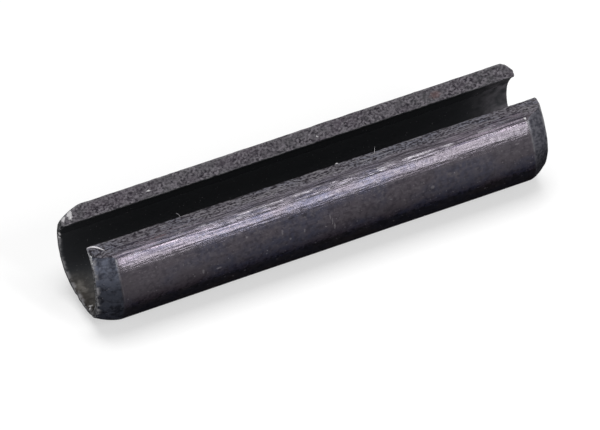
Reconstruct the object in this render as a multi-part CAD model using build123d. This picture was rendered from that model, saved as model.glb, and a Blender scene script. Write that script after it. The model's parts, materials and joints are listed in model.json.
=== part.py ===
"""Slotted spring pin: a strip of spring steel rolled into an open tube, with both ends tapered.

Millimetres. X is the pin's axis, and the origin is on it at mid-length. The slot is on top (+Z), and
the section is turned so that its heavy side hangs straight down, as the pin lies on a bench.
"""
import os
from math import atan2, cos, degrees, radians, sin

from build123d import *

# The pin, free, before it is driven into its hole
OUTER_DIAMETER = 10.8
LENGTH = 44.5
WALL = 1.5

# The slot: its far flank is square to the wall, its near one was rolled back as the strip was sheared
SLOT_WIDTH = 4.2  # straight across, from inner edge to inner edge
ROLLED_LIP_WIDTH = 2.2  # how far round the outer wall the rolled flank reaches back
ROLLED_LIP_RADIUS = 0.75  # where that flank runs into the outer wall
SHARP_EDGE_RADIUS = 0.1  # on the three other edges along the slot

# The ends: a taper that leaves the outer wall at a slight angle and rounds over to the end face
TAPER_LENGTH = 2.0
TAPER_DEPTH = 0.9
TAPER_START_ANGLE = 12.0  # degrees, from the outer wall
MOUTH_BREAK = 0.12  # bevel round the mouth of the bore

# Worked out from those
outer_radius = OUTER_DIAMETER / 2
bore_radius = outer_radius - WALL
half_length = LENGTH / 2


def on_circle(radius, angle):
    """The point of a circle round the axis, at an angle in degrees from its right-hand side."""
    return radius * cos(radians(angle)), radius * sin(radians(angle))


def rolled_strip_section():
    """The open ring, as a face across the axis, with the middle of its slot straight up."""
    top = 90.0
    half_slot = degrees(atan2(SLOT_WIDTH / 2, (bore_radius**2 - (SLOT_WIDTH / 2) ** 2) ** 0.5))
    square_flank = top - half_slot
    rolled_inner = top + half_slot
    rolled_outer = rolled_inner + degrees(ROLLED_LIP_WIDTH / outer_radius)

    square_outer_edge = on_circle(outer_radius, square_flank)
    square_inner_edge = on_circle(bore_radius, square_flank)
    rolled_inner_edge = on_circle(bore_radius, rolled_inner)
    rolled_outer_edge = on_circle(outer_radius, rolled_outer)

    outline = [
        ThreePointArc(square_outer_edge, on_circle(outer_radius, -top), rolled_outer_edge),
        Line(rolled_outer_edge, rolled_inner_edge),
        ThreePointArc(rolled_inner_edge, on_circle(bore_radius, -top), square_inner_edge),
        Line(square_inner_edge, square_outer_edge),
    ]
    section = make_face(outline)

    rolled_corner = section.vertices().sort_by_distance(Vector(*rolled_outer_edge))[0]
    section = fillet(rolled_corner, ROLLED_LIP_RADIUS)
    for edge_point in (square_outer_edge, square_inner_edge, rolled_inner_edge):
        corner = section.vertices().sort_by_distance(Vector(*edge_point))[0]
        section = fillet(corner, SHARP_EDGE_RADIUS)
    return section


def heavy_side_down(section):
    """The section turned round the axis until its centre of mass is straight below it."""
    centre = section.face().center(CenterOf.MASS)
    straight_down = -90.0
    return Rot(0, 0, straight_down - degrees(atan2(centre.Y, centre.X))) * section


def outside_of_taper():
    """The ring of space outside the taper of the +X end, to be cut from the tube."""
    taper_start = (half_length - TAPER_LENGTH, outer_radius)
    taper_end = (half_length, outer_radius - TAPER_DEPTH)
    slope = (cos(radians(TAPER_START_ANGLE)), -sin(radians(TAPER_START_ANGLE)))
    clear = WALL  # how far the ring stands proud of the tube, all round
    lead_in = (taper_start[0] - clear * slope[0], taper_start[1] - clear * slope[1])
    beyond, above = half_length + clear, outer_radius + clear
    profile = make_face([
        Line(lead_in, taper_start),
        TangentArc(taper_start, taper_end, tangent=slope),
        Polyline(taper_end, (beyond, taper_end[1]), (beyond, above), (lead_in[0], above), lead_in),
    ])
    return revolve(Plane.XZ * profile, axis=Axis.X)


def mouth_bevel():
    """The cone that breaks the edge of the bore at the +X end."""
    reach = MOUTH_BREAK + WALL / 2
    profile = make_face(Polyline(
        (half_length - MOUTH_BREAK, 0),
        (half_length - MOUTH_BREAK, bore_radius),
        (half_length - MOUTH_BREAK + reach, bore_radius + reach),
        (half_length - MOUTH_BREAK + reach, 0),
        close=True,
    ))
    return revolve(Plane.XZ * profile, axis=Axis.X)


def spring_pin():
    """The tube of the rolled strip, with both ends tapered and broken."""
    section = Plane.YZ * heavy_side_down(rolled_strip_section())
    tube = extrude(section, amount=half_length, both=True)
    end_tools = outside_of_taper() + mouth_bevel()
    return tube - end_tools - mirror(end_tools, about=Plane.YZ)


os.makedirs("parts", exist_ok=True)
pin = spring_pin()
pin.label = "spring_pin"
export_step(pin, "parts/spring_pin.step")
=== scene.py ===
"""Looks of the slotted spring pin: the rolled strip as one dense mesh with its sheared flanks, worn
edges and burrs, its blackened finish, and a plain pale studio. Lengths are in millimetres where they
don't say metres, up to the moment a mesh, a light or the camera is made; X is the pin's axis, as in
the frame.
"""
import json
import math

import bmesh
import bpy
import numpy as np
from mathutils import Matrix, Vector


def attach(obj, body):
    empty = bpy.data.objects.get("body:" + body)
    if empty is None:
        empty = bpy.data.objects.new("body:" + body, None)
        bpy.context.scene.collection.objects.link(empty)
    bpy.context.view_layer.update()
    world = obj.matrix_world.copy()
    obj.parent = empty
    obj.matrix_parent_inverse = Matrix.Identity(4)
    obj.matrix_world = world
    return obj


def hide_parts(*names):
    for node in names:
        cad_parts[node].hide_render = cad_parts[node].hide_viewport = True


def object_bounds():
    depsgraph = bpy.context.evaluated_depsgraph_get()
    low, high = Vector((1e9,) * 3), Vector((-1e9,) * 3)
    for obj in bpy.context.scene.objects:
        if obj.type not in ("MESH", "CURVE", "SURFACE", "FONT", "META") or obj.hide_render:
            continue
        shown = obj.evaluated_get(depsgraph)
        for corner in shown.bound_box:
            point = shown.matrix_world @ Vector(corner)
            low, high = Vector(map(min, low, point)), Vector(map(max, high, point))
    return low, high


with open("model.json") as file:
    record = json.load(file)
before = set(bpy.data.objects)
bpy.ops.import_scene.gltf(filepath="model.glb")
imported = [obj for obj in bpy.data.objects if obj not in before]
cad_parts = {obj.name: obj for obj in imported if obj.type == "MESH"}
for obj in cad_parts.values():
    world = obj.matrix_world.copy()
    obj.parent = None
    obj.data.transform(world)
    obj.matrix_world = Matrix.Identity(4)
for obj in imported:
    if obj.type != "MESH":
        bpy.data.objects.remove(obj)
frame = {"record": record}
cad_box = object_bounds()

# ------------------------------------------------------------------ sizes, from the frame
MM = 0.001
dims = {mount["name"]: mount["dims"] for mount in frame["record"]["mounts"]}
OUTER_RADIUS = dims["outer_wall"]["r_mm"]
BORE_RADIUS = dims["bore"]["r_mm"]
HALF_LENGTH = cad_box[1].x / MM
TAPER_LENGTH = HALF_LENGTH - dims["outer_wall"]["length_mm"] / 2
MOUTH_BREAK = HALF_LENGTH - dims["bore"]["length_mm"] / 2

# The solid's other sizes
SLOT_WIDTH = 4.2
ROLLED_LIP_WIDTH = 2.2
ROLLED_LIP_RADIUS = 0.75
EDGE_RADIUS = 0.1
TAPER_DEPTH = 0.9
TAPER_START_ANGLE = 12.0

# What is worn off it
RIM_RADIUS = 0.06
BREAK_ROUNDING = 0.15  # half the length over which the wall turns into its taper
FACET_AT = (-20.83, -3.01, 3.58)  # the left lip's crushed corner
FACET_NORMAL = (-0.5, -0.35, 0.79)
FACET_REACH = 2.6

# The ends aren't true. These four go by direction round the axis, in degrees from +Y: how far an end is
# cropped there, and how many times as long its taper is.
LEFT_CROP = {
    -246: 0.4, -215: 0.25, -190: 0.05, -150: 0.03, -130: 0.17, -112: 0.42,
    -98: 0.43, -80: 0.4, -62: 0.35, -42: 0.2, 10: 0.15, 50: 0.05,
}
RIGHT_CROP = {
    -246: -0.08, -234: 0.12, -222: 0.19, -200: 0.26, -150: 0.22, -130: 0.1,
    -105: 0.0, -40: 0.1, 0: 0.08, 30: 0.02, 50: -0.05,
}
LEFT_TAPER = {-246: 1.0, -200: 1.0, -150: 1.15, -100: 1.15, -40: 1.0, 50: 1.05}
RIGHT_TAPER = {-246: 0.9, -200: 0.95, -150: 0.8, -110: 0.75, -60: 0.9, -20: 0.8, 15: 0.75, 50: 0.42}
TABLE_SOFTNESS = 8.0  # degrees either way over which they are averaged
TABLE_SEAM = 82.0  # the direction, inside the slot, where they start over
END_REACH = 5.0  # how far along the pin they are taken up again

# The mesh's relief: the grain of each kind along, across and up, with the seed of its noise, and how
# deep it is
WAVES, WAVE_DEPTH = ((7, 2.2, 2.2), 11), 0.012
DRAWS, DRAW_DEPTH = ((4.5, 0.3, 0.3), 21), 0.008
GRAIN, GRAIN_DEPTH = ((0.5, 0.24, 0.24), 31), 0.014
RAGGED_EDGES, RAGGED_DEPTH = ((0.75, 0.4, 0.4), 41), 0.045
CHIPS, CHIP_DEPTH = ((1.1, 0.7, 0.7), 51), 0.07
WORN_RIMS, WORN_DEPTH = ((0.5, 0.45, 0.45), 61), 0.02
CHIP_LEVELS = (0.45, 0.95)  # of the chips' noise, between which they come in

# ------------------------------------------------------------------ kinds of surface
# The material reads how far each vertex belongs to each of these, from 0 to 1; the rubbed one is 1 near
# the lips and low further round, where the wall and tapers get painted shade
KINDS = (
    "flat", "square", "bore", "taper", "end_face", "rim", "edge", "lip",
    "dimmed", "shoulder", "rubbed_and_unshaded",
)

# Over each of these pairs of places a look comes in or fades out. Along the pin:
END_ZONE = (8, 15)  # from its middle, either way
LEFT_ZONE = (-9, -1)
TAPER_FADE = (-0.12, 0.05)  # from where a taper starts, towards the middle
STREAKS_FADE = (-0.1, 0.6)  # from there too
SHOULDER_FADE = (0.04, 0.13)  # from there, either way
# Away from an edge along the slot, and from the rims of an end:
EDGE_FADE = (0, 0.22)
RIM_FADE = (0, 0.35)
# Round the wall, in degrees from either lip, or from the rolled one only:
# The first two also set where the painted shade of the wall and tapers comes in, away from the lips
RUBBED_AND_UNSHADED_FADE = (54, 20)
LEFT_TAPER_RUBBED_AND_UNSHADED_FADE = (34, 6)
LIP_DIMMED_FADE = (4, 10)
# Out over the rolled flank, as shares of its flat part:
BLEND_RUN = (0.5, 0.8)
END_BLEND_RUN = (0.8, 1.05)
DIMMED_RUN = (0.4, 0.75)

LIP_TURN = (0, 2, 6, 8, 12, 18)  # degrees past the rolled lip, and how streaked the wall is there
LIP_STREAKS = (0.7, 0.15, 0.08, 0.3, 0.22, 0.0)
LIP_EDGE = 3  # degrees past the lip over which the wall changes towards the ends as the lip does
FLANK_STREAKS = (0.3, 0.9)  # how streaked the rolled flank is, before its blend and in it
END_STREAKS = 0.25  # the share of the streaks that is left by the ends
FLANK_DIMMED = (0.15, 0.85)  # how dimmed the rolled flank is by the ends, low down and high up
LIP_EDGE_DIMMED = 0.2
LEFT_DIMMED = 0.4
ON_END_FACE = 1e-6  # how near an end face a vertex counts as on it

# ------------------------------------------------------------------ burrs and single marks
# Each burr is a path, and the sliver's width at each of its points
BURRS = (
    (
        ((-21.75, -1.75, 3.5), (-21.35, -1.9, 3.6), (-20.95, -2.2, 3.62), (-20.5, -2.85, 3.6)),
        (0.12, 0.36, 0.34, 0.06),
    ),
    (((-12.72, -1.68, 3.5), (-12.84, -1.6, 3.72), (-13.0, -1.54, 3.92)), (0.06, 0.08, 0.04)),
    (((6.16, -1.95, 3.54), (6.25, -1.72, 3.7), (6.38, -1.55, 3.92)), (0.02, 0.03, 0.015)),
    (((2.36, -1.7, 3.56), (2.52, -1.75, 3.62), (2.68, -1.72, 3.56)), (0.1, 0.2, 0.08)),
)
SLIVER_FLATNESS = 0.6

# Each mark is where it is along the pin, out from its axis and round it in degrees, then its own reach
# along, out and round
PALE_MARKS = (
    (-21.95, 4.8, 49.6, 0.22, 0.6, 0.3), (-21.26, 4.8, 49.6, 0.27, 0.6, 0.3),
    (-13.7, 4.57, 49.6, 0.26, 0.1, 0.2), (2.73, 4.39, 49.6, 0.1, 0.16, 0.2),
    (20.05, 5.3, 137.8, 0.1, 0.2, 0.2), (-22.2, 3.98, 11.0, 0.2, 0.3, 0.24),
    (-22.15, 3.96, 18.0, 0.2, 0.3, 0.24), (-21.8, 3.9, 250.0, 0.2, 0.2, 0.16),
    (-21.5, 3.9, 256.0, 0.2, 0.2, 0.2), (20.9, 5.2, 131.0, 0.35, 0.3, 0.1),
)
FAINT_MARKS = (
    (0.06, 5.4, 168.5, 0.07, 0.2, 0.3), (0.22, 5.4, 174.0, 0.06, 0.2, 0.35),
    (0.42, 5.4, 180.5, 0.09, 0.2, 0.4), (15.39, 5.4, 200.0, 0.12, 0.2, 0.1),
    (18.69, 5.4, 158.9, 0.28, 0.2, 0.08), (-7.97, 5.4, 161.0, 0.12, 0.2, 0.14),
    (-4.6, 5.4, 168.0, 0.1, 0.2, 0.3), (-2.5, 5.4, 174.0, 0.1, 0.2, 0.2),
    (-3.9, 5.4, 178.0, 0.12, 0.2, 0.14), (-10.9, 5.4, 184.0, 0.3, 0.2, 0.12),
    (-12.4, 5.4, 182.0, 0.12, 0.2, 0.3), (6.0, 5.4, 172.0, 0.16, 0.2, 0.08),
    (10.1, 5.4, 174.0, 0.2, 0.2, 0.2), (-8.3, 5.4, 201.0, 0.12, 0.2, 0.1),
    (6.3, 5.4, 203.0, 0.1, 0.2, 0.14), (20.08, 5.36, 142.5, 0.1, 0.2, 0.4),
)
DARK_MARKS = (
    (-2.41, 5.4, 152.0, 0.28, 0.2, 0.24), (-20.75, 5.2, 134.0, 0.3, 0.3, 0.3),
    (-20.45, 5.3, 137.5, 0.25, 0.3, 0.25), (-20.6, 4.9, 127.5, 0.35, 0.2, 0.12),
    (-2.3, 5.4, 158.0, 0.35, 0.2, 0.2), (-3.5, 5.4, 157.0, 0.4, 0.2, 0.12),
)
RUSTY_MARKS = ((14.57, 4.6, 49.6, 0.6, 0.4, 0.2), (-15.6, 5.1, 131.5, 1.2, 0.3, 0.3))
PALE_STREAKS = (
    (-13.73, 5.3, 136.0, 0.3, 0.3, 0.13), (-11.54, 5.3, 136.8, 0.4, 0.3, 0.12),
    (-7.53, 5.3, 138.2, 0.8, 0.3, 0.07), (-4.54, 5.3, 138.1, 1.1, 0.3, 0.08),
    (-1.7, 5.3, 138.1, 1.2, 0.3, 0.1), (1.15, 5.3, 137.7, 0.35, 0.3, 0.08),
    (2.2, 5.3, 139.3, 0.8, 0.3, 0.06), (9.45, 5.3, 138.5, 1.8, 0.3, 0.09),
    (12.4, 5.3, 138.5, 0.8, 0.3, 0.07), (16.1, 5.3, 136.4, 0.9, 0.3, 0.11),
    (-6.3, 5.1, 131.0, 1.1, 0.3, 0.09), (-1.66, 4.8, 123.6, 1.1, 0.3, 0.07),
    (4.9, 4.8, 123.6, 2.0, 0.3, 0.05), (-9.9, 4.8, 123.0, 1.5, 0.3, 0.06),
)
DARK_STREAKS = (
    (-1.6, 5.3, 140.2, 1.3, 0.3, 0.06), (-4.5, 5.3, 140.3, 1.1, 0.3, 0.07),
    (9.5, 5.3, 140.4, 1.9, 0.3, 0.06), (-16.2, 5.3, 140.4, 0.9, 0.3, 0.06),
    (-13.66, 5.4, 150.5, 1.3, 0.3, 0.08), (-5.3, 5.4, 150.5, 1.7, 0.3, 0.08),
    (1.7, 5.3, 134.9, 1.2, 0.3, 0.08), (14.0, 5.4, 151.5, 1.8, 0.3, 0.06),
    (-11.0, 5.2, 132.5, 1.6, 0.3, 0.07),
)

# ------------------------------------------------------------------ how finely it is meshed
ARC_STEPS = 168
FLANK_STEPS = 28
TAPER_STATIONS = 22
BARREL_STATIONS = 174
PAST_TAPER = 0.3  # how far on from its start the taper's close stations go
ARC_END = 140.0  # about where the outer wall ends, in degrees; it sizes both arcs' end steps
DENSER_RUN = (0.55, 0.8)  # the share of the wall's arc over which its points draw together
DENSER_BY = 0.8
CORNER_BLUNTNESS = 0.585  # which leaves a square corner as round as its two steps allow
SECTION_STEPS = 200
FLANK_LINE_STEPS = 300
TAPER_CURVE_STEPS = 60
AVERAGE_STEPS = 5
SLIVER_SIDES = 8
SLIVER_STEPS = 6  # for each point of its path

# The places in a ring of points round the section where the rolled flank, the bore and the square flank
# start; the outer wall starts at 0
ROLLED_FROM = ARC_STEPS
BORE_FROM = ROLLED_FROM + FLANK_STEPS
SQUARE_FROM = BORE_FROM + ARC_STEPS
RING_POINTS = SQUARE_FROM + FLANK_STEPS


# ------------------------------------------------------------------ the section
def polar(radius, angle):
    """The points at these radii and angles, in degrees from +Y, as (y, z)."""
    radians = np.radians(angle)
    return np.stack([radius * np.cos(radians), radius * np.sin(radians)], -1)


def rolled_flank_line(start_angle, corner_angle):
    """The rolled flank from the bore's edge out, and round its blend into the outer wall."""
    start, corner = polar(BORE_RADIUS, start_angle), polar(OUTER_RADIUS, corner_angle)
    along = (corner - start) / np.linalg.norm(corner - start)
    inward = np.array([-along[1], along[0]])
    base = start + ROLLED_LIP_RADIUS * inward
    reach = (OUTER_RADIUS - ROLLED_LIP_RADIUS) ** 2 - base @ base
    run = -base @ along + math.sqrt((base @ along) ** 2 + reach)
    centre = base + run * along
    first = math.degrees(math.atan2(-inward[1], -inward[0]))
    last = math.degrees(math.atan2(centre[1], centre[0]))
    line = start + np.linspace(0, run, FLANK_LINE_STEPS)[:, None] * along
    blend = centre + polar(ROLLED_LIP_RADIUS, np.linspace(first, last, FLANK_LINE_STEPS))
    return np.concatenate([line, blend[1:]])


def turned(points, angle):
    c, s = math.cos(math.radians(angle)), math.sin(math.radians(angle))
    return points @ np.array([[c, s], [-s, c]])


def centroid_angle(outline):
    """The direction of the centre of area of a closed outline, in degrees from +Y."""
    after = np.roll(outline, -1, 0)
    cross = outline[:, 0] * after[:, 1] - after[:, 0] * outline[:, 1]
    y, z = ((outline + after) * cross[:, None]).sum(0) / cross.sum()
    return math.degrees(math.atan2(z, y))


half_slot = math.degrees(math.asin(SLOT_WIDTH / 2 / BORE_RADIUS))
square_angle = 90 - half_slot
rolled_angle = 90 + half_slot
rolled_line = rolled_flank_line(
    rolled_angle, rolled_angle + math.degrees(ROLLED_LIP_WIDTH / OUTER_RADIUS)
)
wall_start = math.degrees(math.atan2(rolled_line[-1, 1], rolled_line[-1, 0]))
outline = np.concatenate([
    polar(OUTER_RADIUS, np.linspace(square_angle, wall_start - 360, SECTION_STEPS)),
    rolled_line[::-1],
    polar(BORE_RADIUS, np.linspace(rolled_angle - 360, square_angle, SECTION_STEPS)),
])
turn = -90 - centroid_angle(outline)  # which hangs the section's heavy side straight down
square_angle += turn
wall_start += turn
rolled_line = turned(rolled_line, turn)
rolled_radii = np.linalg.norm(rolled_line, axis=1)
rolled_run = np.concatenate([[0], np.linalg.norm(np.diff(rolled_line, axis=0), axis=1).cumsum()])
flat_run = rolled_run[FLANK_LINE_STEPS - 1]  # the part of it before the blend


# ------------------------------------------------------------------ noise and smooth changes
def noise(points, cell, seed):
    """Smooth noise from -1 to 1 at points in space; cell is its grain along x, y and z."""
    size = 32
    table = np.random.default_rng(seed).uniform(-1, 1, (size,) * 3)
    at = points / np.asarray(cell, float)
    low = np.floor(at).astype(int)
    part = at - low
    part = part * part * (3 - 2 * part)
    total = 0.0
    for corner in np.ndindex(2, 2, 2):
        share = np.prod(np.where(corner, part, 1 - part), axis=1)
        spot = (low + corner) % size
        total = total + share * table[spot[:, 0], spot[:, 1], spot[:, 2]]
    return total


def layers(points, cell, seed):
    """Noise with a second layer over it, half as coarse and half as strong."""
    return noise(points, cell, seed) + noise(points, np.divide(cell, 2), seed + 1) / 2


def ramp(value, low, high):
    """0 at low, 1 at high, and smooth between."""
    part = np.clip((value - low) / (high - low), 0, 1)
    return part * part * (3 - 2 * part)


def between(share, low, high):
    """The value that is this share of the way from low to high."""
    return low + share * (high - low)


def averaged(at, reach, knots, values):
    """The line through the knots, at these places, averaged over a reach either way."""
    steps = np.linspace(-reach, reach, AVERAGE_STEPS)
    return np.mean([np.interp(at + step, knots, values) for step in steps], 0)


# ------------------------------------------------------------------ the strip's mesh
def taper_drop(inset):
    """How far the tapered wall lies below the outer wall, at a distance in from the end face."""
    slope = math.radians(TAPER_START_ANGLE)
    ahead = np.array([math.cos(slope), -math.sin(slope)])
    down = np.array([-math.sin(slope), -math.cos(slope)])
    end = np.array([TAPER_LENGTH, -TAPER_DEPTH])
    radius = end @ end / (2 * end @ down)
    swept = 2 * (math.atan2(TAPER_DEPTH, TAPER_LENGTH) - slope)
    angle = np.linspace(0, swept, TAPER_CURVE_STEPS)[:, None]
    curve = radius * ((1 - np.cos(angle)) * down + np.sin(angle) * ahead)
    return -averaged(TAPER_LENGTH - inset, BREAK_ROUNDING, curve[:, 0], curve[:, 1])


def stations():
    """Places along the axis, from -X to +X: close together over the tapers and at the rims."""
    rim = [0, RIM_RADIUS / 3, RIM_RADIUS, MOUTH_BREAK]
    taper = np.linspace(MOUTH_BREAK, TAPER_LENGTH + PAST_TAPER, TAPER_STATIONS)[1:]
    inset = np.concatenate([rim, taper])
    barrel = HALF_LENGTH - inset[-1]
    middle = np.linspace(-barrel, barrel, BARREL_STATIONS)[1:-1]
    return np.concatenate([inset - HALF_LENGTH, middle, (HALF_LENGTH - inset)[::-1]])


def spread(steps, length, density=None):
    """Fractions from 0 to 1 of a run, with one step of the edge's radius at each end."""
    edge = EDGE_RADIUS / length
    even = np.linspace(0, 1, steps - 1)
    if density is not None:
        weight = np.concatenate([[0], density((even[1:] + even[:-1]) / 2).cumsum()])
        even = np.interp(np.linspace(0, weight[-1], steps - 1), weight, even)
    return np.concatenate([[0], edge + even * (1 - 2 * edge), [1]])


def denser_to_the_lip(part):
    return 1 + DENSER_BY * ramp(part, *DENSER_RUN)


def on_rolled_line(run):
    """The points of the rolled flank that are this far along it from the bore, as (y, z)."""
    return np.stack([np.interp(run, rolled_run, rolled_line[:, k]) for k in (0, 1)], -1)


def rolled_line_angle(run):
    point = on_rolled_line(run)
    return np.degrees(np.arctan2(point[..., 1], point[..., 0])) - 360


def rings(x):
    """The section's outline at each station, as (stations, points, 3).

    Each starts at the square flank's outer edge, goes down and round the outer wall, in over the
    rolled flank, back round the bore and out over the square flank.
    """
    inset = HALF_LENGTH - np.abs(x)
    blunt = RIM_RADIUS * np.clip(1 - inset / RIM_RADIUS, 0, 1) ** 2
    outer = OUTER_RADIUS - taper_drop(inset) - blunt
    bore = BORE_RADIUS + np.clip(MOUTH_BREAK - inset, 0, None) + blunt
    run_out = np.interp(outer, rolled_radii, rolled_run)
    run_in = np.interp(bore, rolled_radii, rolled_run)

    arc = math.radians(square_angle + 360 - ARC_END)
    wall = spread(ARC_STEPS, arc * OUTER_RADIUS, denser_to_the_lip)
    inside = spread(ARC_STEPS, arc * BORE_RADIUS)
    rows = spread(FLANK_STEPS, OUTER_RADIUS - BORE_RADIUS)
    rolled_rows = spread(FLANK_STEPS, rolled_run[-1])

    wall_angles = square_angle + wall * (rolled_line_angle(run_out)[:, None] - square_angle)
    bore_angles = square_angle + inside[::-1] * (rolled_line_angle(run_in)[:, None] - square_angle)
    flank = bore[:, None] + rows * (outer - bore)[:, None]
    rolled = run_out[:, None] + rolled_rows * (run_in - run_out)[:, None]
    ring = np.concatenate([
        polar(outer[:, None], wall_angles)[:, :-1],
        on_rolled_line(rolled)[:, :-1],
        polar(bore[:, None], bore_angles)[:, :-1],
        polar(flank, square_angle)[:, :-1],
    ], 1)
    for corner in (0, ROLLED_FROM, BORE_FROM, SQUARE_FROM):
        beside = (ring[:, corner - 1] + ring[:, corner + 1]) / 2
        ring[:, corner] += CORNER_BLUNTNESS * (beside - ring[:, corner])
    along = np.broadcast_to(x[:, None, None], ring.shape[:2] + (1,))
    return np.concatenate([along, ring], -1)


def cap_grid():
    """The places in a ring of an end face's border, as a grid of (round the arc, across the wall)."""
    grid = np.full((ARC_STEPS + 1, FLANK_STEPS + 1), -1)
    grid[:, -1] = np.arange(ARC_STEPS + 1)
    grid[-1, :] = BORE_FROM - np.arange(FLANK_STEPS + 1)
    grid[:, 0] = SQUARE_FROM - np.arange(ARC_STEPS + 1)
    grid[0, :] = (SQUARE_FROM + np.arange(FLANK_STEPS + 1)) % RING_POINTS
    return grid


def strip_mesh():
    """Vertices, quads, and each vertex's place in its ring, which is -1 inside an end face."""
    x = stations()
    ring = rings(x)
    points = [ring.reshape(-1, 3)]
    here = np.arange(len(x) * RING_POINTS).reshape(len(x), RING_POINTS)
    after = np.roll(here, -1, 1)
    quads = [np.stack([here[:-1], after[:-1], after[1:], here[1:]], -1).reshape(-1, 4)]
    share = spread(FLANK_STEPS, OUTER_RADIUS - BORE_RADIUS)[None, 1:-1, None]
    total = here.size
    for station in (0, len(x) - 1):
        grid = cap_grid()
        rim = ring[station]
        inner, outer = rim[grid[1:-1, 0]][:, None], rim[grid[1:-1, -1]][:, None]
        inside = inner + share * (outer - inner)
        grid = np.where(grid >= 0, grid + station * RING_POINTS, grid)
        grid[1:-1, 1:-1] = total + np.arange(inside[..., 0].size).reshape(inside.shape[:2])
        total += inside[..., 0].size
        points.append(inside.reshape(-1, 3))
        corners = [grid[:-1, :-1], grid[1:, :-1], grid[1:, 1:], grid[:-1, 1:]]
        quads.append(np.stack(corners, -1).reshape(-1, 4))
    place = np.full(total, -1)
    place[:here.size] = np.tile(np.arange(RING_POINTS), len(x))
    return np.concatenate(points), np.concatenate(quads), place


def lip_looks(x, radius, past_lip, on_wall, on_rolled):
    """How far each vertex is in the rolled flank's blend, streaked, and dimmed."""
    at_ends = ramp(np.abs(x), *END_ZONE)
    at_left = 1 - ramp(x, *LEFT_ZONE)
    near_lip = on_rolled | (past_lip < LIP_EDGE)
    run = np.interp(radius, rolled_radii, rolled_run) / flat_run
    blend_from, blend_to = (between(at_ends, *runs) for runs in zip(BLEND_RUN, END_BLEND_RUN))
    blend = ramp(run, blend_from, blend_to)
    streaked = np.where(on_wall, np.interp(past_lip, LIP_TURN, LIP_STREAKS), 0)
    streaked = np.where(on_rolled, between(blend, *FLANK_STREAKS), streaked)
    streaked = np.where(near_lip, streaked * between(at_ends, 1, END_STREAKS), streaked)
    on_flank = between(ramp(run, *DIMMED_RUN), *FLANK_DIMMED)
    dimmed_ends = at_ends * np.where(on_rolled, on_flank, LIP_EDGE_DIMMED * near_lip)
    dimmed_left = LEFT_DIMMED * at_left * on_wall * (1 - ramp(past_lip, *LIP_DIMMED_FADE))
    return blend, streaked, np.maximum(dimmed_ends, dimmed_left)


def edge_distances(points, inset, radius):
    """How far each vertex is from the sharp edges along the slot, and from the rims of its end."""
    outer = OUTER_RADIUS - taper_drop(inset)
    edges = (polar(outer, square_angle), polar(BORE_RADIUS, square_angle), rolled_line[0])
    from_edge = np.min([np.linalg.norm(points[:, 1:] - edge, axis=1) for edge in edges], 0)
    rims = (outer, BORE_RADIUS + MOUTH_BREAK)
    return from_edge, np.min([np.hypot(inset, radius - rim) for rim in rims], 0)


def regions(points, place):
    """How far each vertex belongs to each kind of surface, from 0 to 1."""
    x = points[:, 0]
    radius = np.hypot(points[:, 1], points[:, 2])
    angle = np.degrees(np.arctan2(points[:, 2], points[:, 1]))
    inset = HALF_LENGTH - np.abs(x)
    past_taper = inset - TAPER_LENGTH
    on_wall = (place >= 0) & (place <= ROLLED_FROM)
    on_rolled = (place >= ROLLED_FROM) & (place <= BORE_FROM)
    on_bore = (place >= BORE_FROM) & (place <= SQUARE_FROM)
    on_square = (place >= SQUARE_FROM) | (place == 0)

    past_lip = np.where(on_wall, (angle - wall_start) % 360, 0)
    to_square = 360 - (wall_start - square_angle) - past_lip
    on_left_taper = (past_taper < 0) & (x < 0)
    fades = np.where(on_left_taper[:, None], LEFT_TAPER_RUBBED_AND_UNSHADED_FADE, RUBBED_AND_UNSHADED_FADE).T
    # Rubbed near either lip; further round, where this is low, the wall and tapers get painted shade
    rubbed_and_unshaded = np.maximum(ramp(past_lip, *fades), ramp(to_square, *fades))
    blend, streaked, dimmed = lip_looks(x, radius, past_lip, on_wall, on_rolled)
    between_tapers = (1 - on_bore) * ramp(past_taper, *STREAKS_FADE)
    from_edge, from_rim = edge_distances(points, inset, radius)
    return {
        "wall": on_wall.astype(float),
        "rubbed_and_unshaded": np.where(on_wall, rubbed_and_unshaded, 1.0),
        "flat": np.where(on_rolled, 1 - blend, 0.0),
        "square": on_square.astype(float),
        "bore": on_bore.astype(float),
        "taper": np.where(on_wall, 1 - ramp(past_taper, *TAPER_FADE), 0.0),
        "end_face": ((place < 0) | (inset < ON_END_FACE)).astype(float),
        "lip": streaked * between_tapers,
        "dimmed": dimmed * (on_rolled | on_wall) * between_tapers,
        "shoulder": np.where(on_wall, 1 - ramp(np.abs(past_taper), *SHOULDER_FADE), 0.0),
        "edge": 1 - ramp(from_edge, *EDGE_FADE),
        "rim": 1 - ramp(from_rim, *RIM_FADE),
    }


def new_object(name, points, faces):
    """A smooth object from points in mm, with its faces turned outward."""
    mesh = bpy.data.meshes.new(name)
    mesh.from_pydata((points * MM).tolist(), [], faces)
    body = bmesh.new()
    body.from_mesh(mesh)
    bmesh.ops.recalc_face_normals(body, faces=body.faces)
    body.to_mesh(mesh)
    body.free()
    mesh.shade_smooth()
    made = bpy.data.objects.new(name, mesh)
    bpy.context.scene.collection.objects.link(made)
    return made


def normals(mesh):
    found = np.empty(3 * len(mesh.vertices))
    mesh.vertex_normals.foreach_get("vector", found)
    return found.reshape(-1, 3)


def by_direction(table, angle):
    """What a table by direction gives at these angles, with its corners rounded off."""
    return averaged(angle, TABLE_SOFTNESS, list(table), list(table.values()))


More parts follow.
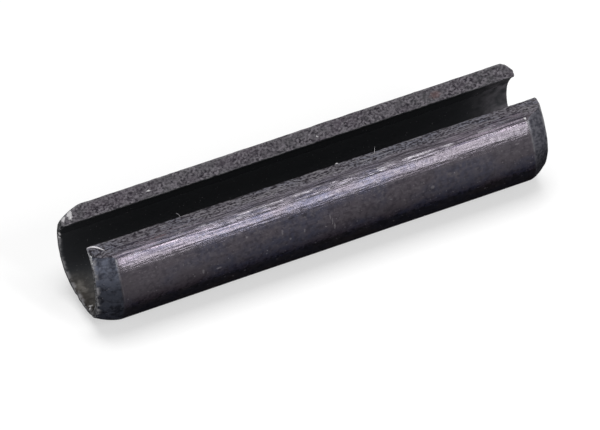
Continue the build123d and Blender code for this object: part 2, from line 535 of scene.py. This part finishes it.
def reshaped(points):
    """The points with each end cropped and its taper stretched, and the left lip's corner crushed."""
    angle = np.degrees(np.arctan2(points[:, 2], points[:, 1]))
    angle = np.where(angle > TABLE_SEAM, angle - 360, angle)
    side = np.sign(points[:, 0])
    inset = HALF_LENGTH - np.abs(points[:, 0])
    taken_up = np.clip((inset - TAPER_LENGTH) / END_REACH, 0, 1)
    points = points.copy()
    for end, crops, tapers in ((-1, LEFT_CROP, LEFT_TAPER), (1, RIGHT_CROP, RIGHT_TAPER)):
        stretch = by_direction(tapers, angle)
        on_barrel = inset + (stretch - 1) * TAPER_LENGTH * (1 - taken_up)
        moved = np.where(inset < TAPER_LENGTH, inset * stretch, on_barrel)
        moved += by_direction(crops, angle) * (1 - ramp(inset, 0, END_REACH))
        points[:, 0] = np.where(side == end, end * (HALF_LENGTH - moved), points[:, 0])
    facing = np.array(FACET_NORMAL) / np.linalg.norm(FACET_NORMAL)
    proud = np.clip((points - FACET_AT) @ facing, 0, None)
    near = np.linalg.norm(points - FACET_AT, axis=1) < FACET_REACH
    return points - np.where(near, proud, 0)[:, None] * facing


def reliefs(points, found):
    """How far each vertex stands proud of, or lies below, the true surface."""
    sheared = np.maximum(found["flat"], found["square"])
    chipped = ramp(layers(points, *CHIPS), *CHIP_LEVELS)
    waves = noise(points, *WAVES) * found["wall"] * (1 - sheared) * WAVE_DEPTH
    draws = layers(points, *DRAWS) * found["lip"] * DRAW_DEPTH
    grain = layers(points, *GRAIN) * sheared * GRAIN_DEPTH
    ragged = layers(points, *RAGGED_EDGES) * found["edge"] * RAGGED_DEPTH
    chips = -chipped * (found["edge"] + found["rim"]) * CHIP_DEPTH
    worn = layers(points, *WORN_RIMS) * found["rim"] * WORN_DEPTH
    return waves + draws + grain + ragged + chips + worn


def strip():
    """The rolled strip, with the kinds of its surface as attributes of its vertices."""
    points, quads, place = strip_mesh()
    found = regions(points, place)
    shape = reshaped(points)
    made = new_object("rolled_strip", shape, quads.tolist())
    mesh = made.data
    shifted = shape + normals(mesh) * reliefs(points, found)[:, None]
    mesh.vertices.foreach_set("co", (shifted * MM).ravel())
    mesh.update()
    for name in KINDS:
        mesh.attributes.new(name, "FLOAT", "POINT").data.foreach_set("value", found[name])
    return made


# ------------------------------------------------------------------ the burrs
def sliver(path, widths):
    """A thin burr along a smooth path: a tube whose thickness changes from point to point."""
    path = np.array(path, float)
    steps = np.linspace(0, len(path) - 1, SLIVER_STEPS * len(path))
    padded = np.concatenate([2 * path[:1] - path[1:2], path, 2 * path[-1:] - path[-2:-1]])
    low = np.minimum(steps.astype(int), len(path) - 2)
    t = (steps - low)[:, None]
    p0, p1, p2, p3 = (padded[low + k] for k in range(4))
    line = 0.5 * (2 * p1 + (p2 - p0) * t + (2 * p0 - 5 * p1 + 4 * p2 - p3) * t**2
                  + (3 * p1 - p0 - 3 * p2 + p3) * t**3)
    width = np.interp(steps, np.arange(len(path)), widths)
    heading = np.gradient(line, axis=0)
    heading /= np.linalg.norm(heading, axis=1)[:, None]
    reference = (0.2, 0.5, 0.8)  # a direction that no burr runs along
    side = np.cross(heading, reference)
    side /= np.linalg.norm(side, axis=1)[:, None]
    up = np.cross(side, heading)
    turns = np.linspace(0, 2 * np.pi, SLIVER_SIDES, endpoint=False)[:, None, None]
    ring = np.cos(turns) * side + np.sin(turns) * up * SLIVER_FLATNESS
    points = (line + ring * width[:, None] / 2).transpose(1, 0, 2).reshape(-1, 3)
    here = np.arange(len(points)).reshape(len(line), SLIVER_SIDES)
    after = np.roll(here, -1, 1)
    faces = np.stack([here[:-1], after[:-1], after[1:], here[1:]], -1).reshape(-1, 4).tolist()
    faces += [here[0].tolist()[::-1], here[-1].tolist()]
    return points, faces


def burrs():
    """The slivers left standing along the lips, as one piece."""
    points, faces = np.empty((0, 3)), []
    for path, widths in BURRS:
        more, its_faces = sliver(path, widths)
        faces += [[len(points) + k for k in face] for face in its_faces]
        points = np.concatenate([points, more])
    return new_object("edge_burrs", points, faces)


# ------------------------------------------------------------------ nodes
BLACK = (0.0, 0.0, 0.0, 1)
WHITE = (1.0, 1.0, 1.0, 1)
MARK_OUTLINE_SCALE = 5.0
MARK_FADE = (1.1, 0.6)  # outward to inward, in reaches of the mark


class Nodes:
    """Short words for the nodes of one material or world."""

    def __init__(self, owner):
        owner.use_nodes = True
        self.owner = owner
        self.tree = owner.node_tree

    def feed(self, node, values):
        """Sets or links a node's inputs, each by its name or number, and gives the node back."""
        for key, value in values.items():
            if isinstance(value, bpy.types.NodeSocket):
                self.tree.links.new(value, node.inputs[key])
            else:
                node.inputs[key].default_value = value
        return node

    def new(self, kind, values):
        return self.feed(self.tree.nodes.new(kind), values)

    def combined(self, operation, first, *others):
        """Numbers taken together by one operation."""
        for other in others:
            node = self.tree.nodes.new("ShaderNodeMath")
            node.operation = operation
            first = self.feed(node, {0: first, 1: other}).outputs["Value"]
        return first

    def plus(self, *values):
        return self.combined("ADD", *values)

    def times(self, *values):
        return self.combined("MULTIPLY", *values)

    def most(self, *values):
        return self.combined("MAXIMUM", *values)

    def vector(self, operation, values):
        """The outputs of an operation on vectors."""
        node = self.tree.nodes.new("ShaderNodeVectorMath")
        node.operation = operation
        return self.feed(node, values).outputs

    def mix(self, share, low, high, kind="RGBA"):
        node = self.tree.nodes.new("ShaderNodeMix")
        node.data_type = kind
        a, b = (k for k, socket in enumerate(node.inputs) if socket.enabled and socket.name in "AB")
        self.feed(node, {"Factor": share, a: low, b: high})
        return next(socket for socket in node.outputs if socket.enabled)

    def between(self, share, low, high):
        """The number that is this share of the way from low to high."""
        return self.mix(share, low, high, "FLOAT")

    def toned(self, color, tone, *shares):
        """The colour turned towards a tone by the product of these shares."""
        return self.mix(self.times(*shares), color, tone)

    def ramp(self, value, low, high):
        """0 where value is low, 1 where it is high, and smooth between."""
        node = self.tree.nodes.new("ShaderNodeMapRange")
        node.interpolation_type = "SMOOTHSTEP"
        self.feed(node, {"Value": value, "From Min": low, "From Max": high})
        return node.outputs["Result"]

    def place(self):
        """The point of the surface, in millimetres of the object's own frame."""
        where = self.new("ShaderNodeTexCoord", {}).outputs["Object"]
        return self.vector("SCALE", {0: where, "Scale": 1 / MM})["Vector"]

    def mapped(self, place, own_frame):
        """The place as seen from a frame with its own location, rotation and scale."""
        node = self.tree.nodes.new("ShaderNodeMapping")
        node.vector_type = "TEXTURE"
        return self.feed(node, {"Vector": place, **own_frame}).outputs["Vector"]

    def noise(self, place, cell, detail, shift=0.0):
        """Noise from 0 to 1 whose grain is cell millimetres along x, y and z."""
        scaled = self.mapped(place, {"Scale": cell, "Location": (shift, shift, shift)})
        pattern = {"Vector": scaled, "Scale": 1.0, "Detail": detail}
        return self.new("ShaderNodeTexNoise", pattern).outputs["Fac"]

    def marks(self, place, spots, ragged_by):
        """1 inside any of the spots, whose outlines wander by so many mm along, across and up."""
        ragged = self.new("ShaderNodeTexNoise", {"Vector": place, "Scale": MARK_OUTLINE_SCALE})
        span = [2 * by for by in ragged_by]
        wandered = self.vector("MULTIPLY_ADD", {0: ragged.outputs["Color"], 1: span, 2: place})
        found = 0.0
        for along, out, angle, *reach in spots:
            middle = (along, *polar(out, angle))
            seen_from_spot = self.mapped(wandered["Vector"], {
                "Location": [at + by for at, by in zip(middle, ragged_by)],
                "Rotation": (math.radians(angle), 0, 0),
                "Scale": reach,
            })
            away = self.vector("LENGTH", {0: seen_from_spot})["Value"]
            found = self.most(found, self.ramp(away, *MARK_FADE))
        return found

    def attribute(self, name):
        node = self.tree.nodes.new("ShaderNodeAttribute")
        node.attribute_name = name
        return node.outputs["Fac"]

    def ray(self, *kinds):
        """1 for rays of any of these kinds, such as "Is Camera Ray"."""
        path = self.new("ShaderNodeLightPath", {})
        return self.most(*(path.outputs[kind] for kind in kinds))


# ------------------------------------------------------------------ the blackened finish
# Its noises: the grain of each along, across and up, its detail and its shift
NOISES = {
    "streaks": ((3.0, 0.15, 0.15), 2.0, 0.0),
    "lines": ((2.0, 0.11, 0.11), 1.0, 33.0),
    "grain": ((0.24, 0.2, 0.2), 4.0, 3.0),
    "pebbles": ((0.42, 0.42, 0.42), 3.0, 51.0),
    "nicks": ((0.36, 0.26, 0.26), 3.0, 71.0),
    "dashes": ((0.55, 0.22, 0.22), 4.0, 83.0),
    "turned_lines": ((0.3, 1.6, 1.6), 3.0, 63.0),
    "patches": ((6.0, 3.0, 3.0), 2.0, 9.0),
    "mottle": ((0.9, 0.6, 0.6), 3.0, 15.0),
    "specks": ((0.16, 0.16, 0.16), 1.0, 27.0),
    "wear": ((0.8, 0.6, 0.6), 4.0, 41.0),
}
SPECKLED = {"dashes": 0.55, "grain": 0.45}  # one more noise: the sum of these shares of two

# Its grounds: a noise, the levels of it between which a first tone gives way to a second, and both tones
GROUNDS = {
    "wall": ("patches", (0.42, 0.58), (0.0545, 0.0475, 0.056, 1), (0.042, 0.0425, 0.061, 1)),
    "left_taper": ("mottle", (0.4, 0.6), (0.032, 0.034, 0.045, 1), (0.082, 0.089, 0.116, 1)),
    "right_taper": ("nicks", (0.35, 0.65), (0.046, 0.046, 0.056, 1), (0.094, 0.093, 0.108, 1)),
    "sheared": ("grain", (0.34, 0.66), (0.026, 0.023, 0.029, 1), (0.174, 0.161, 0.179, 1)),
    "sheared_tint": ("patches", (0.4, 0.6), (0.087, 0.074, 0.09, 1), (0.075, 0.074, 0.079, 1)),
    "rolled_tint": ("patches", (0.4, 0.6), (0.152, 0.144, 0.16, 1), (0.132, 0.134, 0.165, 1)),
    # a dust tone at the bottom of each mouth, lighter than the bore, partly painted light falling in
    # there
    "dust_and_painted_light": ("mottle", (0.4, 0.65), (0.045, 0.041, 0.037, 1), (0.11, 0.103, 0.095, 1)),
    "end_face": ("grain", (0.35, 0.65), (0.08, 0.08, 0.085, 1), (0.3, 0.3, 0.31, 1)),
}

# Its coats, each over the one before: the kinds of surface it is on, its strength, the noise that breaks
# it up with the levels between which it comes in, and its tone
WALL_COATS = (
    ((), 0.45, "mottle", (0.43, 0.62), (0.07, 0.062, 0.072, 1)),
    ((), 0.15, "turned_lines", (0.42, 0.6), (0.078, 0.07, 0.081, 1)),
    ((), 0.42, "pebbles", (0.52, 0.38), (0.02, 0.018, 0.023, 1)),
    (("lip",), 1.0, "streaks", (0.35, 0.6), (0.132, 0.122, 0.143, 1)),
    (("rubbed_and_unshaded",), 1.0, "nicks", (0.5, 0.74), (0.083, 0.076, 0.085, 1)),
    (("rubbed_and_unshaded",), 0.17, "streaks", (0.5, 0.62), (0.076, 0.067, 0.075, 1)),
    (("rubbed_and_unshaded",), 0.17, "streaks", (0.48, 0.36), (0.03, 0.028, 0.038, 1)),
)
LEFT_TAPER_COATS = (((), 0.4, "grain", (0.45, 0.65), (0.11, 0.115, 0.14, 1)),)
ROLLED_FLANK_COATS = (((), 0.5, "lines", (0.56, 0.68), (0.25, 0.236, 0.246, 1)),)
DIMMED_COATS = (
    (("dimmed",), 1.0, "streaks", (0.5, 0.62), (0.134, 0.113, 0.138, 1)),
    (("dimmed",), 1.0, "streaks", (0.48, 0.38), (0.026, 0.022, 0.034, 1)),
)
SCRATCH_COATS = (
    ((), 0.3, "specks", (0.71, 0.81), (0.42, 0.4, 0.42, 1)),
    (("lip",), 0.4, "lines", (0.6, 0.7), (0.4, 0.39, 0.41, 1)),
    (("lip",), 0.6, "lines", (0.4, 0.3), (0.02, 0.018, 0.022, 1)),
)
SHOULDER_COATS = ((("shoulder", "rubbed_and_unshaded"), 1.0, "wear", (0.35, 0.65), (0.13, 0.13, 0.14, 1)),)

# The marks: where they are, how far their outlines wander along, across and up, their strength and tone
MARKS = (
    (RUSTY_MARKS, (0.3, 0.2, 0.2), 0.5, (0.15, 0.095, 0.095, 1)),
    (DARK_MARKS, (0.15, 0.15, 0.15), 0.6, (0.015, 0.014, 0.018, 1)),
    (DARK_STREAKS, (0.6, 0.03, 0.03), 0.7, (0.018, 0.016, 0.02, 1)),
    (FAINT_MARKS, (0.08, 0.08, 0.08), 0.35, (0.2, 0.19, 0.2, 1)),
    (PALE_STREAKS, (0.7, 0.05, 0.05), 0.45, (0.36, 0.34, 0.37, 1)),
    (PALE_MARKS, (0.2, 0.2, 0.2), 0.8, (0.6, 0.59, 0.6, 1)),
)

# The rest of its tones, and how strong they are
PAINTED_WALL_SHADE = 0.46  # painted shade: how far the wall turns black away from the slot, where the rubbed mask is low, and how far a taper does
PAINTED_TAPER_SHADE = 0.6
BURNISHED = (0.108, 0.1, 0.111, 1)
BURNISHED_STRENGTH = 0.16
DULL_START = (0.042, 0.037, 0.041, 1)
DULL_START_STRENGTH = (0.1, 0.8)  # from the least to the most mottled
SHEARED_TINT_LEVELS = (0.35, 0.6)  # of the mottle
SHEARED_TINT_STRENGTH = 0.55
ROLLED_PIT = (0.018, 0.016, 0.02, 1)
ROLLED_PIT_LEVELS = (0.42, 0.58)  # of the speckled noise
ROLLED_FLANK_STRENGTH = 0.85
ROLLED_EDGE = (0.03, 0.028, 0.03, 1)
ROLLED_EDGE_STRENGTH = 0.8
BORE = (0.034, 0.036, 0.039, 1)
BORE_STRENGTH = 0.95
# Painted light in the bore towards its right mouth, where light comes in, broken up by the mottle
PAINTED_MOUTH_LIGHT = (0.115, 0.108, 0.12, 1)
PAINTED_MOUTH_LIGHT_LEVELS = (0.2, 0.75)  # of the mottle
BARE = (0.27, 0.265, 0.275, 1)
BARE_RIM_STRENGTH = 0.8
BARE_EDGE_STRENGTH = (0.45, 0.2)  # off the rolled flank, and on it
BARE_LEVELS = (0.42, 0.62)  # of the wear

# Where they come in: along the pin, from its middle either way, or up from its axis
BURNISHED_FROM_MIDDLE = (5.0, 18.0)
DULL_START_ALONG = (-18.0, -20.4)
LEFT_TO_RIGHT = (-5.0, 5.0)
# where the painted light in the bore comes in towards the right mouth
PAINTED_MOUTH_LIGHT_ALONG = (17.0, 21.5)
# where the dust tone and painted light at the bottom of each mouth come in
DUST_AND_LIGHT_FROM_MIDDLE = (19.0, 22.0)
DUST_AND_LIGHT_UP = (-2.4, -3.6)

# Its gloss
METALLIC = 0.68
DULL_METALLIC = 0.1
TAPER_DULLNESS = 0.6
ROUGHNESS = 0.19
PEBBLE_ROUGHNESS = 0.1
SHOULDER_ROUGHNESS = 0.2
DULL_ROUGHNESS = 0.62

# How high its finest relief is
WALL_BUMP = (0.006, 0.05)  # off its tapers, and on them
SHEARED_BUMP = 0.22
PEBBLE_BUMP = (0.014, 0.035)  # off the lip, and on it
STREAK_BUMP = (0.004, 0.064)
LINE_BUMP = 0.014  # on the lip only
LINE_LEVELS = (0.4, 0.6)


class Finish(Nodes):
    """The nodes of the blackened finish, with where it is, on what kinds of surface, and its noises."""

    def __init__(self, owner):
        super().__init__(owner)
        self.at = self.place()
        axes = self.new("ShaderNodeSeparateXYZ", {0: self.at}).outputs
        self.along, self.up = axes["X"], axes["Z"]
        self.from_middle = self.most(self.along, self.times(self.along, -1.0))
        self.on = {name: self.attribute(name) for name in KINDS}
        self.on["sheared"] = self.most(self.on["flat"], self.on["square"])
        self.noises = {name: self.noise(self.at, *grain) for name, grain in NOISES.items()}
        shares = (self.times(self.noises[name], share) for name, share in SPECKLED.items())
        self.noises["speckled"] = self.plus(*shares)
        self.on["bare"] = self.bare()

    def level(self, name, low, high):
        """0 where one of the noises is at its low level here, and 1 where it is at its high one."""
        return self.ramp(self.noises[name], low, high)

    def ground(self, name):
        pattern, levels, first, second = GROUNDS[name]
        return self.mix(self.level(pattern, *levels), first, second)

    def coated(self, color, coats):
        for kinds, strength, pattern, levels, tone in coats:
            shares = [self.on[kind] for kind in kinds]
            color = self.toned(color, tone, *shares, self.level(pattern, *levels), strength)
        return color

    def bare(self):
        """Where the blackening has come off the rims and the edges along the slot."""
        rims = self.times(self.on["rim"], BARE_RIM_STRENGTH)
        edges = self.times(self.on["edge"], self.between(self.on["flat"], *BARE_EDGE_STRENGTH))
        return self.times(self.most(rims, edges), self.level("wear", *BARE_LEVELS))


def wall_color(f):
    """The rolled wall, darker away from the slot by painted shade, and duller where it starts at the
    left.
    """
    color = f.coated(f.ground("wall"), WALL_COATS)
    # Painted shade: the wall turns towards black away from the slot
    color = f.toned(color, BLACK, f.between(f.on["rubbed_and_unshaded"], PAINTED_WALL_SHADE, 0.0))
    burnished = f.times(f.on["rubbed_and_unshaded"], f.ramp(f.from_middle, *BURNISHED_FROM_MIDDLE))
    color = f.toned(color, BURNISHED, burnished, BURNISHED_STRENGTH)
    mottled = f.between(f.noises["mottle"], *DULL_START_STRENGTH)
    return f.toned(color, DULL_START, f.ramp(f.along, *DULL_START_ALONG), mottled)


def taper_color(f):
    """The tapers, the left one bluer, and both darker away from the slot by painted shade."""
    left = f.coated(f.ground("left_taper"), LEFT_TAPER_COATS)
    color = f.mix(f.ramp(f.along, *LEFT_TO_RIGHT), left, f.ground("right_taper"))
    # Painted shade: the tapers turn towards black away from the slot
    return f.toned(color, BLACK, f.between(f.on["rubbed_and_unshaded"], PAINTED_TAPER_SHADE, 0.0))


def with_flanks(f, color):
    """Both sheared flanks over the colour, the rolled one with lines along it."""
    tinting = f.level("mottle", *SHEARED_TINT_LEVELS)
    sheared = f.toned(f.ground("sheared"), f.ground("sheared_tint"), tinting, SHEARED_TINT_STRENGTH)
    pitting = f.level("speckled", *ROLLED_PIT_LEVELS)
    rolled = f.mix(pitting, ROLLED_PIT, f.ground("rolled_tint"))
    rolled = f.coated(rolled, ROLLED_FLANK_COATS)
    color = f.mix(f.on["sheared"], color, sheared)
    color = f.toned(color, rolled, f.on["flat"], ROLLED_FLANK_STRENGTH)
    color = f.toned(color, ROLLED_EDGE, f.on["edge"], f.on["flat"], ROLLED_EDGE_STRENGTH)
    return f.coated(color, DIMMED_COATS)


def with_bore_and_end_faces(f, color):
    """The bore and the end faces over the colour, with painted light in the bore towards its right
    mouth, and at the bottom of each mouth a dust tone with painted light.
    """
    color = f.toned(color, BORE, f.on["bore"], BORE_STRENGTH)
    # Painted light in the bore towards its right mouth
    painted_mouth_light = f.times(f.on["bore"], f.ramp(f.along, *PAINTED_MOUTH_LIGHT_ALONG))
    color = f.toned(color, PAINTED_MOUTH_LIGHT, painted_mouth_light, f.level("mottle", *PAINTED_MOUTH_LIGHT_LEVELS))
    # Dust tone and painted light at the bottom of each mouth
    dust_and_painted_light = f.times(f.ramp(f.from_middle, *DUST_AND_LIGHT_FROM_MIDDLE), f.ramp(f.up, *DUST_AND_LIGHT_UP))
    color = f.toned(color, f.ground("dust_and_painted_light"), f.on["bore"], dust_and_painted_light)
    return f.mix(f.on["end_face"], color, f.ground("end_face"))


def with_wear(f, color):
    """Scratches, bare edges and single marks over the colour."""
    color = f.coated(color, SCRATCH_COATS)
    color = f.toned(color, BARE, f.on["bare"])
    color = f.coated(color, SHOULDER_COATS)
    for spots, ragged_by, strength, tone in MARKS:
        color = f.toned(color, tone, f.marks(f.at, spots, ragged_by), strength)
    return color


def fine_relief(f):
    """The height in mm of what is too fine for the mesh."""
    wall = f.between(f.on["taper"], *WALL_BUMP)
    grain = f.between(f.on["flat"], f.noises["grain"], f.noises["speckled"])
    return f.plus(
        f.times(grain, f.between(f.on["sheared"], wall, SHEARED_BUMP)),
        f.times(f.noises["pebbles"], f.between(f.on["lip"], *PEBBLE_BUMP)),
        f.times(f.noises["streaks"], f.between(f.on["lip"], *STREAK_BUMP)),
        f.times(f.level("lines", *LINE_LEVELS), f.on["lip"], LINE_BUMP),
    )


def blackened_steel():
    """Black phosphate over spring steel: grainy where the strip was sheared, streaked where drawn."""
    f = Finish(bpy.data.materials.new("blackened_steel"))
    color = f.mix(f.on["taper"], wall_color(f), taper_color(f))
    color = with_wear(f, with_bore_and_end_faces(f, with_flanks(f, color)))
    dull = f.most(f.on["sheared"], f.on["bare"], f.times(f.on["taper"], TAPER_DULLNESS))
    rough = f.plus(
        ROUGHNESS,
        f.times(f.noises["pebbles"], PEBBLE_ROUGHNESS),
        f.times(f.on["shoulder"], SHOULDER_ROUGHNESS),
    )
    bump = f.new("ShaderNodeBump", {"Height": fine_relief(f), "Distance": MM, "Strength": 1.0})
    f.feed(f.tree.nodes["Principled BSDF"], {
        "Base Color": color,
        "Metallic": f.between(dull, METALLIC, DULL_METALLIC),
        "Specular Tint": BLACK,
        "Specular IOR Level": 0.0,
        "Roughness": f.between(f.most(dull, f.on["bore"]), rough, DULL_ROUGHNESS),
        "Normal": bump.outputs["Normal"],
    })
    return f.owner


# ------------------------------------------------------------------ the burrs' steel
BARE_GRAIN = ((0.3, 0.1, 0.1), 3.0)
BARE_TONES = ((0.2, 0.19, 0.2, 1), (0.62, 0.6, 0.63, 1))
BARE_METALLIC = 0.7
BARE_ROUGHNESS = 0.3
BARE_GRAIN_ROUGHNESS = 0.3


def bare_steel():
    """Steel that the blackening has come off, where a burr was bent over."""
    n = Nodes(bpy.data.materials.new("bare_steel"))
    grain = n.noise(n.place(), *BARE_GRAIN)
    n.feed(n.tree.nodes["Principled BSDF"], {
        "Base Color": n.mix(grain, *BARE_TONES),
        "Metallic": BARE_METALLIC,
        "Roughness": n.plus(BARE_ROUGHNESS, n.times(grain, BARE_GRAIN_ROUGHNESS)),
    })
    return n.owner


# ------------------------------------------------------------------ the studio
CAMERA_AZIMUTH = -23.2
CAMERA_ELEVATION = 39.5
CAMERA_ROLL = 3.4  # degrees by which the camera leans to its right
CAMERA_DISTANCE = 578.0
CAMERA_LENS = 390.0
CAMERA_SENSOR = 36.0
CAMERA_CLIP = (0.01, 20.0)  # metres
PIN_IN_FRAME = (4.5, 22.2)  # pixels from the middle of the frame to the pin's, right and up
FRAME_WIDTH = 600  # pixels
FLOOR_HALF = 3.0  # metres
FLOOR_GREY = (0.5, 0.5, 0.5, 1)
FLOOR_LIFT = 0.5  # the strength of the glow that only SEEN rays find on the floor
AMBIENT = 0.2  # the strength of the surroundings for every other ray
SEEN = ("Is Camera Ray", "Is Glossy Ray", "Is Transmission Ray")

# Each light's name, the direction to it, its distance, width and height, and its power in watts
LIGHTS = (
    ("front_strip", (0.304, -0.8, 0.515), 500, 90, 235, 1.1),
    ("overhead", (0.0, -0.06, 0.998), 600, 400, 400, 2.8),
    ("left_fill", (-0.85, -0.3, 0.43), 500, 250, 250, 0.35),
)


def camera():
    data = bpy.data.cameras.new("camera")
    data.lens = CAMERA_LENS
    data.sensor_width = CAMERA_SENSOR
    data.clip_start, data.clip_end = CAMERA_CLIP
    made = bpy.data.objects.new("camera", data)
    bpy.context.scene.collection.objects.link(made)
    azimuth, elevation = math.radians(CAMERA_AZIMUTH), math.radians(CAMERA_ELEVATION)
    back = Vector((
        math.sin(azimuth) * math.cos(elevation),
        -math.cos(azimuth) * math.cos(elevation),
        math.sin(elevation),
    ))
    level = Vector((math.cos(azimuth), math.sin(azimuth), 0))
    basis = Matrix((level, back.cross(level), back)).transposed().to_4x4()
    basis = basis @ Matrix.Rotation(math.radians(-CAMERA_ROLL), 4, "Z")
    pixel = CAMERA_DISTANCE * CAMERA_SENSOR / CAMERA_LENS / FRAME_WIDTH
    right, up = basis.col[0].xyz, basis.col[1].xyz
    place = back * CAMERA_DISTANCE - (right * PIN_IN_FRAME[0] + up * PIN_IN_FRAME[1]) * pixel
    made.matrix_world = Matrix.Translation(place * MM) @ basis
    bpy.context.scene.camera = made


def floor_material():
    """Pale and matt; what the camera and reflections see of it is lifted towards white."""
    n = Nodes(bpy.data.materials.new("floor"))
    n.feed(n.tree.nodes["Principled BSDF"], {
        "Base Color": FLOOR_GREY,
        "Roughness": 1.0,
        "Specular IOR Level": 0.0,
        "Emission Color": WHITE,
        "Emission Strength": n.times(n.ray(*SEEN), FLOOR_LIFT),
    })
    return n.owner


def floor():
    half, level = FLOOR_HALF, cad_box[0].z
    corners = [(-half, -half, level), (half, -half, level), (half, half, level), (-half, half, level)]
    mesh = bpy.data.meshes.new("floor")
    mesh.from_pydata(corners, [], [(0, 1, 2, 3)])
    mesh.materials.append(floor_material())
    made = bpy.data.objects.new("floor", mesh)
    bpy.context.scene.collection.objects.link(made)


def soft_light(name, direction, distance, width, height, power):
    """An area light that faces the pin from a direction, its width along X."""
    data = bpy.data.lights.new(name, "AREA")
    data.shape = "RECTANGLE"
    data.size, data.size_y = width * MM, height * MM
    data.energy = power
    made = bpy.data.objects.new(name, data)
    away = Vector(direction).normalized()
    side = (Vector((1, 0, 0)) - away * away.x).normalized()
    basis = Matrix((side, away.cross(side), away)).transposed().to_4x4()
    made.matrix_world = Matrix.Translation(away * (distance * MM)) @ basis
    bpy.context.scene.collection.objects.link(made)


def surroundings():
    """White to the camera and in reflections, and dim as a light."""
    n = Nodes(bpy.data.worlds.new("studio"))
    strength = n.most(AMBIENT, n.ray(*SEEN))
    n.feed(n.tree.nodes["Background"], {"Color": WHITE, "Strength": strength})
    return n.owner


def studio():
    scene = bpy.context.scene
    scene.view_settings.view_transform = "Standard"
    scene.world = surroundings()
    for light in LIGHTS:
        soft_light(*light)
    floor()
    camera()


pin = strip()
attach(pin, "root")
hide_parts("spring_pin")
pin.data.materials.append(blackened_steel())
slivers = burrs()
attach(slivers, "root")
slivers.data.materials.append(bare_steel())
studio()
